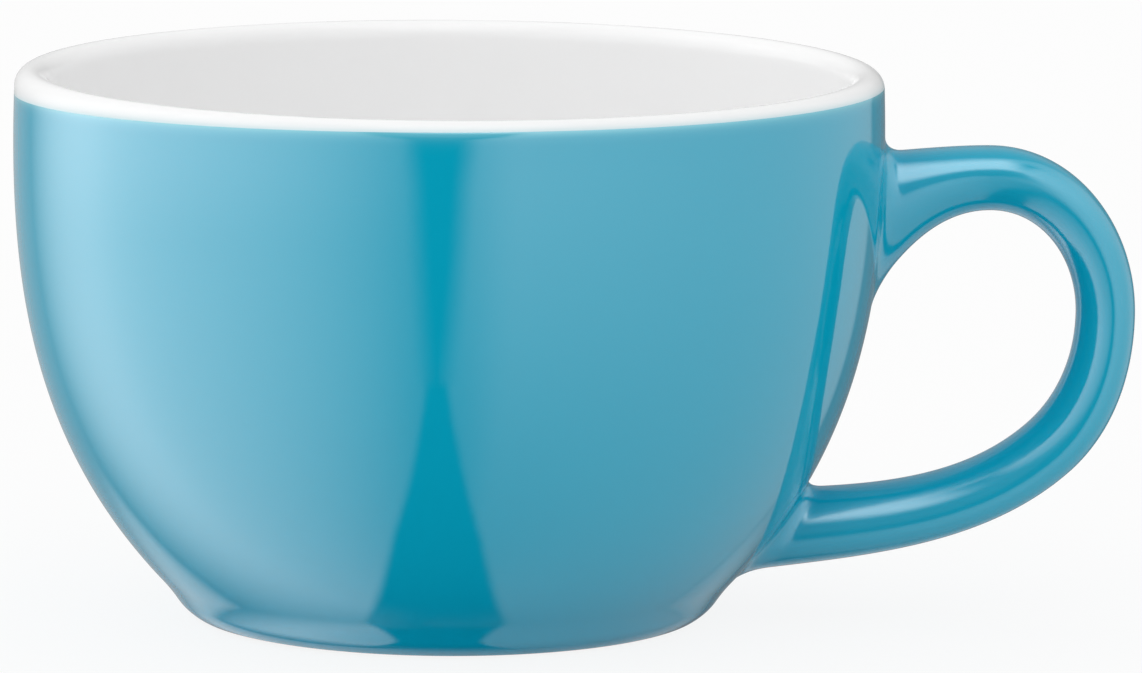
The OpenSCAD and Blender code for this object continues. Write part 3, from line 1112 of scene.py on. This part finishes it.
@dataclass
class LightTent:
    """A round light tent that only the gloss sees: two sides, a slit for the camera, a top light.

    A place on the tent has an azimuth from the camera towards the handle, an elevation, an angle
    across (towards the handle) and a pitch (up from the camera, over the top and down behind).
    """

    radius: float = 3000.0
    middle_z: float = 32.0
    # The camera's slit: the pitch of its waist, its half width there, where it lies across, and how
    # it drifts, widens and softens from there, up to the pitch at which it is shut
    slit_waist: float = -30.0
    slit_half: float = 2.4
    slit_middle: float = -2.7
    slit_drift: float = 0.015
    slit_flare_high: float = 0.157
    slit_flare_low: float = 0.176
    slit_knee: float = 39.0
    slit_flare_foot: float = 0.08
    slit_soft_high: float = 7.5
    slit_soft_low: float = 2.5
    slit_shut: tuple[float, float] = (90.0, 115.0)
    # The wider opening above the slit, under the top light: from which pitch to which
    throat: tuple[float, float] = (-6.0, 12.0)
    throat_flare: float = 0.35
    # The side away from the handle: brightness, how it grows from the slit, how it falls to the
    # table, how it is lifted above, and where it ends behind
    far_side: float = 4.68
    far_power: float = 0.83
    far_fall: float = 0.845
    far_lift: float = 0.18
    far_lift_from: tuple[float, float] = (-12.0, -3.0)
    far_end: tuple[float, float] = (103.0, 157.0)
    # The side towards the handle: an even part that turns away behind, a part that fades behind and
    # below, a lift above, a dimmer edge at the slit, and where it ends behind
    near_low: float = 0.86
    near_low_middle: float = 81.0
    near_low_turn: float = 0.8
    near_high: float = 2.58
    near_high_fall: float = 0.0165
    near_high_from: float = -5.0
    near_high_depth: float = 44.0
    near_lift: float = 0.5
    near_lift_to: float = 45.0
    near_edge: tuple[float, float] = (0.5, 19.0)
    near_edge_share: float = 0.53
    near_end: tuple[float, float] = (145.0, 151.0)
    # The top light: brightness, where it starts and fades along the pitch, and its ends across
    top: float = 7.5
    top_start: tuple[float, float] = (26.0, 50.0)
    top_end: tuple[float, float] = (78.0, 120.0)
    top_far: tuple[float, float] = (-19.0, -4.0)
    top_near: tuple[float, float] = (10.0, 26.0)
    # What is left of the light behind the sides, on the far and the near half, and round the top
    rest: float = 0.55
    rest_near: float = 0.22
    rest_top: float = 0.45
    rest_turn: tuple[float, float] = (-16.0, 16.0)
    rest_behind: tuple[float, float] = (120.0, 143.0)
    rest_low: tuple[float, float] = (-95.0, 0.0)
    rest_above: tuple[float, float] = (5.0, 15.0)
    # The lit table behind the cup, on the far and the near half
    table_far: float = 1.1
    table_near: float = 0.65
    table_behind: tuple[float, float] = (138.0, 150.0)
    table_below: tuple[float, float] = (15.0, 32.0)
    # The ball's mesh, finer across the slit
    rows: int = 180
    fine_columns: int = 180
    wide_columns: int = 80
    fine_across: tuple[float, float] = (-25.0, 20.0)

    def cloth(self, across: np.ndarray, pitch: np.ndarray) -> np.ndarray:
        """Where the sides' cloth hangs: round the slit, an hourglass with a wide throat above it.

        Args:
            across: Angles across, towards the handle.
            pitch: Angles up from the camera.

        Returns:
            1 on the cloth and 0 in the slit, with a soft edge between.
        """
        below = np.clip(self.slit_waist - pitch, 0.0, None)
        above = np.clip(pitch - self.slit_waist, 0.0, None)
        half = self.slit_half + self.slit_flare_high * above
        half = half + self.slit_flare_low * np.minimum(below, self.slit_knee)
        half = half + self.slit_flare_foot * np.clip(below - self.slit_knee, 0.0, None)
        half = half + self.throat_flare * (np.clip(pitch, *self.throat) - self.throat[0])
        gap = np.abs(across - self.slit_middle - self.slit_drift * (below + above)) - half
        soft = np.where(pitch < self.slit_waist, self.slit_soft_low, self.slit_soft_high)
        edge = smooth_step(-0.5, 0.5, gap / soft)
        return np.maximum(edge, smooth_step(*self.slit_shut, np.abs(pitch)))

    def far(self, azimuth: np.ndarray, elevation: np.ndarray) -> np.ndarray:
        """Brightness of the side away from the handle: a power of sine times a cosine of the fall.

        Args:
            azimuth: Angles from the camera.
            elevation: Angles above the table.

        Returns:
            One brightness for each place.
        """
        turn = np.abs(np.sin(np.radians(azimuth))) ** self.far_power
        fall = np.cos(np.radians(self.far_fall * np.minimum(elevation, 0.0)))
        lift = 1.0 + self.far_lift * smooth_step(*self.far_lift_from, elevation)
        end = 1.0 - smooth_step(*self.far_end, np.abs(azimuth))
        return self.far_side * turn * fall * lift * end

    def near(self, azimuth: np.ndarray, elevation: np.ndarray) -> np.ndarray:
        """Brightness of the side towards the handle: a cosine plus a part that dies away below.

        Args:
            azimuth: Angles from the camera.
            elevation: Angles above the table.

        Returns:
            One brightness for each place.
        """
        turn = np.radians(self.near_low_turn * (azimuth - self.near_low_middle))
        low = self.near_low * np.cos(turn)
        depth = np.minimum(elevation - self.near_high_from, 0.0) / self.near_high_depth
        high = np.clip(self.near_high - self.near_high_fall * azimuth, 0.0, None) * np.exp(depth)
        lift = 1.0 + self.near_lift * smooth_step(0.0, self.near_lift_to, elevation)
        from_slit = smooth_step(*self.near_edge, azimuth)
        edge = self.near_edge_share + (1.0 - self.near_edge_share) * from_slit
        return (low + high) * lift * edge * (1.0 - smooth_step(*self.near_end, azimuth))

    def glow(self, points: np.ndarray) -> np.ndarray:
        """Brightness of the tent at points on it: its sides, the top light over them, and the rest.

        Args:
            points: Points on the tent, about its middle.

        Returns:
            One brightness for each point.
        """
        x, y, z = np.moveaxis(np.clip(points / self.radius, -1.0, 1.0), -1, 0)
        azimuth, pitch = np.degrees(np.arctan2(x, -y)), np.degrees(np.arctan2(z, -y))
        elevation, across = np.degrees(np.arcsin(z)), np.degrees(np.arcsin(x))
        far, near = self.far(azimuth, elevation), self.near(azimuth, elevation)
        cloth = self.cloth(across, pitch)
        side = np.where(azimuth < self.slit_middle, far, near) * cloth
        top = smooth_step(*self.top_start, pitch) * (1.0 - smooth_step(*self.top_end, pitch))
        top = top * smooth_step(*self.top_far, across) * (1.0 - smooth_step(*self.top_near, across))
        turn = smooth_step(*self.rest_turn, across)
        level = self.rest + (self.rest_near - self.rest) * turn
        behind = level * smooth_step(*self.rest_behind, np.abs(azimuth))
        behind = behind * smooth_step(*self.rest_low, elevation)
        above = self.rest_top * smooth_step(*self.rest_above, elevation)
        table = (self.table_far + (self.table_near - self.table_far) * turn) * cloth
        table = table * smooth_step(*self.table_behind, np.abs(azimuth))
        table = table * smooth_step(*self.table_below, -elevation)
        rest = np.maximum(np.maximum(behind, above), table)
        return np.maximum(side * (1.0 - top) + self.top * top, rest)

    def build(self) -> bpy.types.Object:
        """Makes the tent as a ball of rows round the X axis, crowded towards the slit.

        Returns:
            The tent, seen by glossy rays alone.
        """
        pitch = np.radians(np.linspace(-180.0, 180.0, self.rows, endpoint=False))
        start, end = self.fine_across
        across = np.concatenate([
            np.linspace(-90.0, start, self.wide_columns, endpoint=False),
            np.linspace(start, end, self.fine_columns),
            np.linspace(90.0, end, self.wide_columns, endpoint=False)[::-1],
        ])
        lean = np.radians(across)[:, None]
        points = np.stack([
            np.sin(lean) * np.ones_like(pitch),
            -np.cos(lean) * np.cos(pitch),
            np.cos(lean) * np.sin(pitch),
        ], axis=-1) * self.radius
        middle = np.array([0.0, 0.0, self.middle_z])
        ball = Surface(points + middle, values=self.glow(points), values_name="glow")
        tent = add_object("light_tent", ball.mesh("light_tent"))
        cloth, sheet = Sheet.of_material("tent cloth")
        glow = sheet.add("ShaderNodeAttribute", attribute_name="glow").outputs["Fac"]
        light = sheet.add("ShaderNodeEmission", {"Strength": glow})
        sheet.add("ShaderNodeOutputMaterial", {"Surface": light.outputs["Emission"]})
        tent.data.materials.append(cloth)
        tent.visible_camera = False
        tent.visible_diffuse = False
        tent.visible_shadow = False
        tent.visible_transmission = False
        return tent


@dataclass
class Studio:
    """The plain white table, the even light round it, the light tent and the camera."""

    tent: LightTent = field(default_factory=LightTent)
    # The floor's disc, and how much of the white that the camera sees is its own
    floor_r: float = 3000.0
    floor_z: float = -0.02
    floor_columns: int = 64
    floor_colour: tuple[float, float, float] = (0.75, 0.75, 0.75)
    floor_glow: float = 0.88
    # The even light, and how it leans: brighter from above and from the side away from the handle
    light: float = 0.97
    light_colour: tuple[float, float, float] = (1.0, 1.0, 1.0)
    light_lean: tuple[float, float, float] = (-0.24, 0.0, 0.22)
    # The camera: place, aim, roll in radians, and its focal length in pixels of the photo's width
    eye: tuple[float, float, float] = (0.0, -950.0, 178.4)
    aim: tuple[float, float, float] = (14.150, 0.0, 32.32)
    roll: float = 0.0073
    photo_width: float = 1142.0
    focal_pixels: float = 8317.0
    sensor_width: float = 36.0

    def build_floor(self) -> bpy.types.Object:
        """Makes the table: a flat disc that takes the cup's shadow and stays out of its gloss.

        Returns:
            The table's object.
        """
        angles = np.linspace(0.0, 360.0, self.floor_columns, endpoint=False)
        outline = np.array([[self.floor_r, self.floor_z], [0.0, self.floor_z]])
        floor = add_object("floor", Surface(turned(outline, angles)).mesh("floor"))
        paint, sheet = Sheet.of_material("white table")
        paint_colour = {"Color": rgba(self.floor_colour)}
        matt = sheet.add("ShaderNodeBsdfDiffuse", paint_colour).outputs["BSDF"]
        lit = sheet.add("ShaderNodeEmission", {"Strength": 1.0}).outputs["Emission"]
        seen = sheet.add("ShaderNodeLightPath").outputs["Is Camera Ray"]
        share = sheet.math("MULTIPLY", seen, self.floor_glow)
        shader = sheet.add("ShaderNodeMixShader", {0: share, 1: matt, 2: lit})
        sheet.add("ShaderNodeOutputMaterial", {"Surface": shader.outputs["Shader"]})
        floor.data.materials.append(paint)
        floor.visible_glossy = False
        return floor

    def build_world(self) -> None:
        """Lights everything from all round, with 1 plus the direction's share of the lean."""
        world = bpy.data.worlds.new("white studio")
        world.use_nodes = True
        sheet = Sheet(world.node_tree)
        way = sheet.add("ShaderNodeTexCoord").outputs["Generated"]
        sockets = {0: way, 1: self.light_lean}
        lean = sheet.add("ShaderNodeVectorMath", sockets, operation="DOT_PRODUCT").outputs["Value"]
        strength = sheet.math("MULTIPLY_ADD", lean, self.light, self.light)
        sockets = {"Color": rgba(self.light_colour), "Strength": strength}
        sky = sheet.add("ShaderNodeBackground", sockets)
        sheet.add("ShaderNodeOutputWorld", {"Surface": sky.outputs["Background"]})
        bpy.context.scene.world = world

    def build_camera(self) -> bpy.types.Object:
        """Sets the camera where the photograph was taken from.

        Returns:
            The camera's object.
        """
        lens = bpy.data.cameras.new("camera")
        lens.sensor_width = self.sensor_width
        lens.lens = self.sensor_width * self.focal_pixels / self.photo_width
        camera = add_object("camera", lens)
        eye, aim = Vector(self.eye) * MM, Vector(self.aim) * MM
        look = (aim - eye).to_track_quat("-Z", "Y")
        camera.rotation_mode = "QUATERNION"
        camera.location = eye
        camera.rotation_quaternion = look @ Quaternion((0, 0, 1), self.roll)
        bpy.context.scene.camera = camera
        return camera

    def build(self) -> None:
        """Sets up the studio."""
        self.build_floor()
        self.build_world()
        self.tent.build()
        self.build_camera()
        bpy.context.scene.view_settings.view_transform = "Standard"


def main() -> None:
    """Builds the bowl, the handle and the studio in order."""
    logging.basicConfig(level=logging.INFO, format="%(name)s: %(message)s")
    bowl = Bowl()
    bowl.build()
    Handle(bowl).build()
    Studio().build()


if __name__ == "__main__":
    main()
